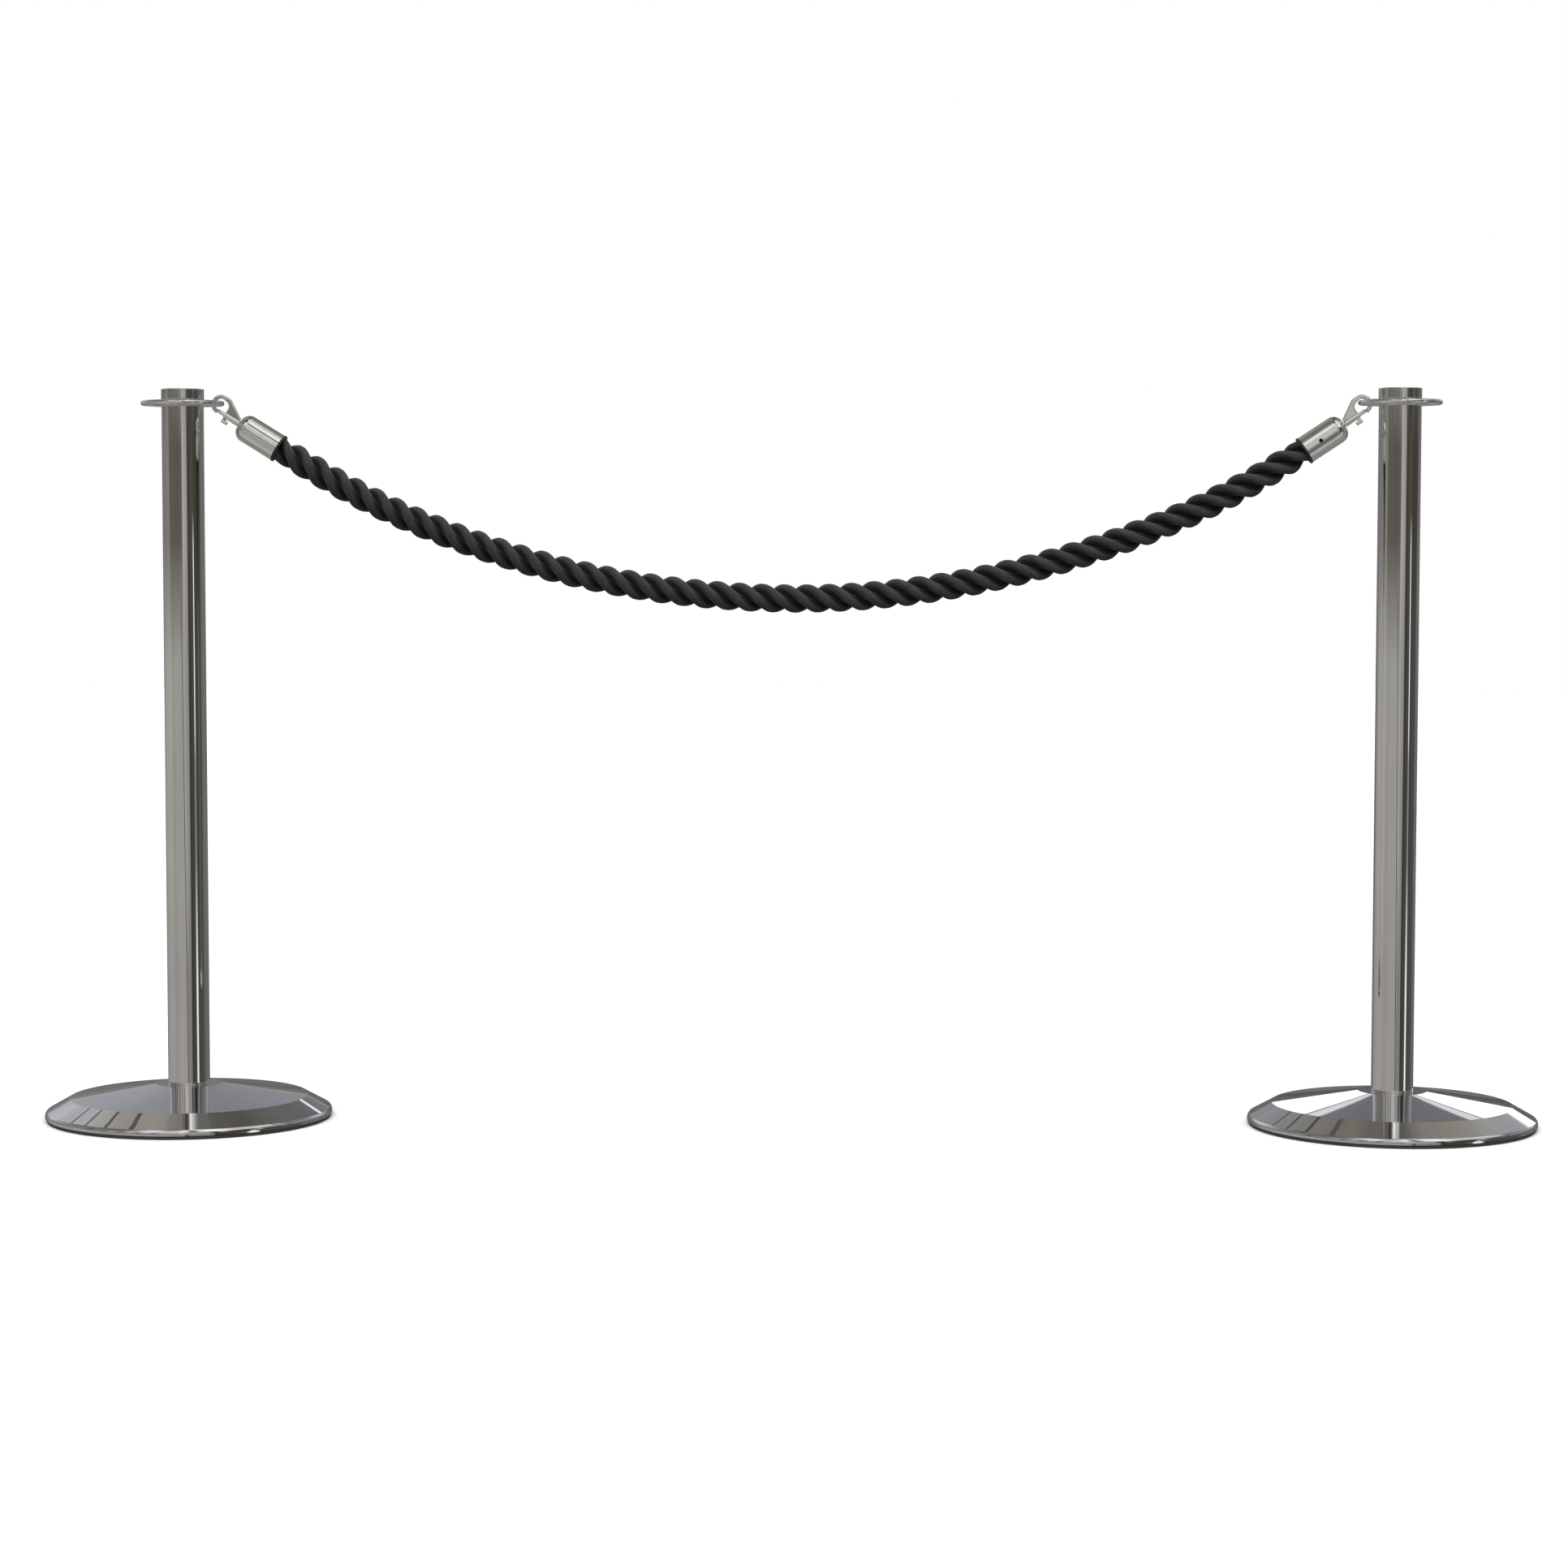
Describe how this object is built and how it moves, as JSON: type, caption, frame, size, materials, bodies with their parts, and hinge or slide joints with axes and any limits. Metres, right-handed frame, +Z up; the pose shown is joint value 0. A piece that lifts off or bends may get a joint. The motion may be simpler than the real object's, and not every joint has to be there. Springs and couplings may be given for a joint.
{
  "type": "rope barrier stanchion set",
  "caption": "Free-standing ring-top stanchions on domed weighted bases, joined by a hanging twisted rope with a sprung snap hook in a bright cup at each end.",
  "frame": {"origin": "on the floor, midway between the two post axes", "axes": "+X along the span towards the right post, +Y away from the front, +Z up"},
  "size_m": [1.827, 0.35, 0.895],
  "materials": {
    "polished_steel": "mirror-polished stainless steel",
    "cover_steel": "spun stainless cover, polished, with faint spinning lines",
    "bright_nickel": "bright nickel plate",
    "cast_iron": "painted casting",
    "rubber": "matt black rubber",
    "black_plastic": "black moulded ring",
    "black_steel": "black oxide",
    "zinc": "zinc-plated steel",
    "spring_steel": "drawn spring wire",
    "rope": "three-strand twisted black fibre rope"
  },
  "bodies": {
    "posts": {"left_base_cover": "cover_steel", "left_base_weight": "cast_iron", "left_base_rubber_ring": "rubber", "left_base_washer": "zinc", "left_base_bolt": "zinc", "left_foot_ring": "polished_steel", "left_foot_plug": "zinc", "left_post_tube": "polished_steel", "left_head_plug": "zinc", "left_rope_ring": "polished_steel", "left_cap_stud": "zinc", "left_top_cap": "polished_steel", "right_base_cover": "cover_steel", "right_base_weight": "cast_iron", "right_base_rubber_ring": "rubber", "right_base_washer": "zinc", "right_base_bolt": "zinc", "right_foot_ring": "polished_steel", "right_foot_plug": "zinc", "right_post_tube": "polished_steel", "right_head_plug": "zinc", "right_rope_ring": "polished_steel", "right_cap_stud": "zinc", "right_top_cap": "polished_steel"},
    "rope": {"rope": "rope", "left_ferrule": "bright_nickel", "left_ferrule_collar": "black_plastic", "left_ferrule_screw": "black_steel", "right_ferrule": "bright_nickel", "right_ferrule_collar": "black_plastic", "right_ferrule_screw": "black_steel"},
    "left_hook": {"left_swivel_stud": "bright_nickel", "left_swivel_washer": "zinc", "left_hook_body": "bright_nickel", "left_bolt_spring": "spring_steel"},
    "left_bolt": {"left_hook_bolt": "bright_nickel"},
    "right_hook": {"right_swivel_stud": "bright_nickel", "right_swivel_washer": "zinc", "right_hook_body": "bright_nickel", "right_bolt_spring": "spring_steel"},
    "right_bolt": {"right_hook_bolt": "bright_nickel"}
  },
  "joints": [
    {"name": "rope_sway", "type": "hinge", "parent": "posts", "child": "rope", "pos_m": [0, 0, 0.8777], "axis": [1, 0, 0], "range_deg": [-12, 12]},
    {"name": "left_swivel", "type": "hinge", "parent": "rope", "child": "left_hook", "pos_m": [-0.6691, 0, 0.85277], "axis": [-0.8501, 0, 0.5266], "range_deg": [-8, 8]},
    {"name": "left_bolt_slide", "type": "slide", "parent": "left_hook", "child": "left_bolt", "axis": [0.8501, 0, -0.5266], "range_m": [0, 0.0075], "stiffness_N_per_m": 350, "springref_m": -0.006, "deforming": ["left_bolt_spring"]},
    {"name": "right_swivel", "type": "hinge", "parent": "rope", "child": "right_hook", "pos_m": [0.67167, 0, 0.85123], "axis": [0.8336, 0, 0.5524], "range_deg": [-8, 8]},
    {"name": "right_bolt_slide", "type": "slide", "parent": "right_hook", "child": "right_bolt", "axis": [-0.8336, 0, -0.5524], "range_m": [0, 0.0075], "stiffness_N_per_m": 350, "springref_m": -0.006, "deforming": ["right_bolt_spring"]}
  ]
}
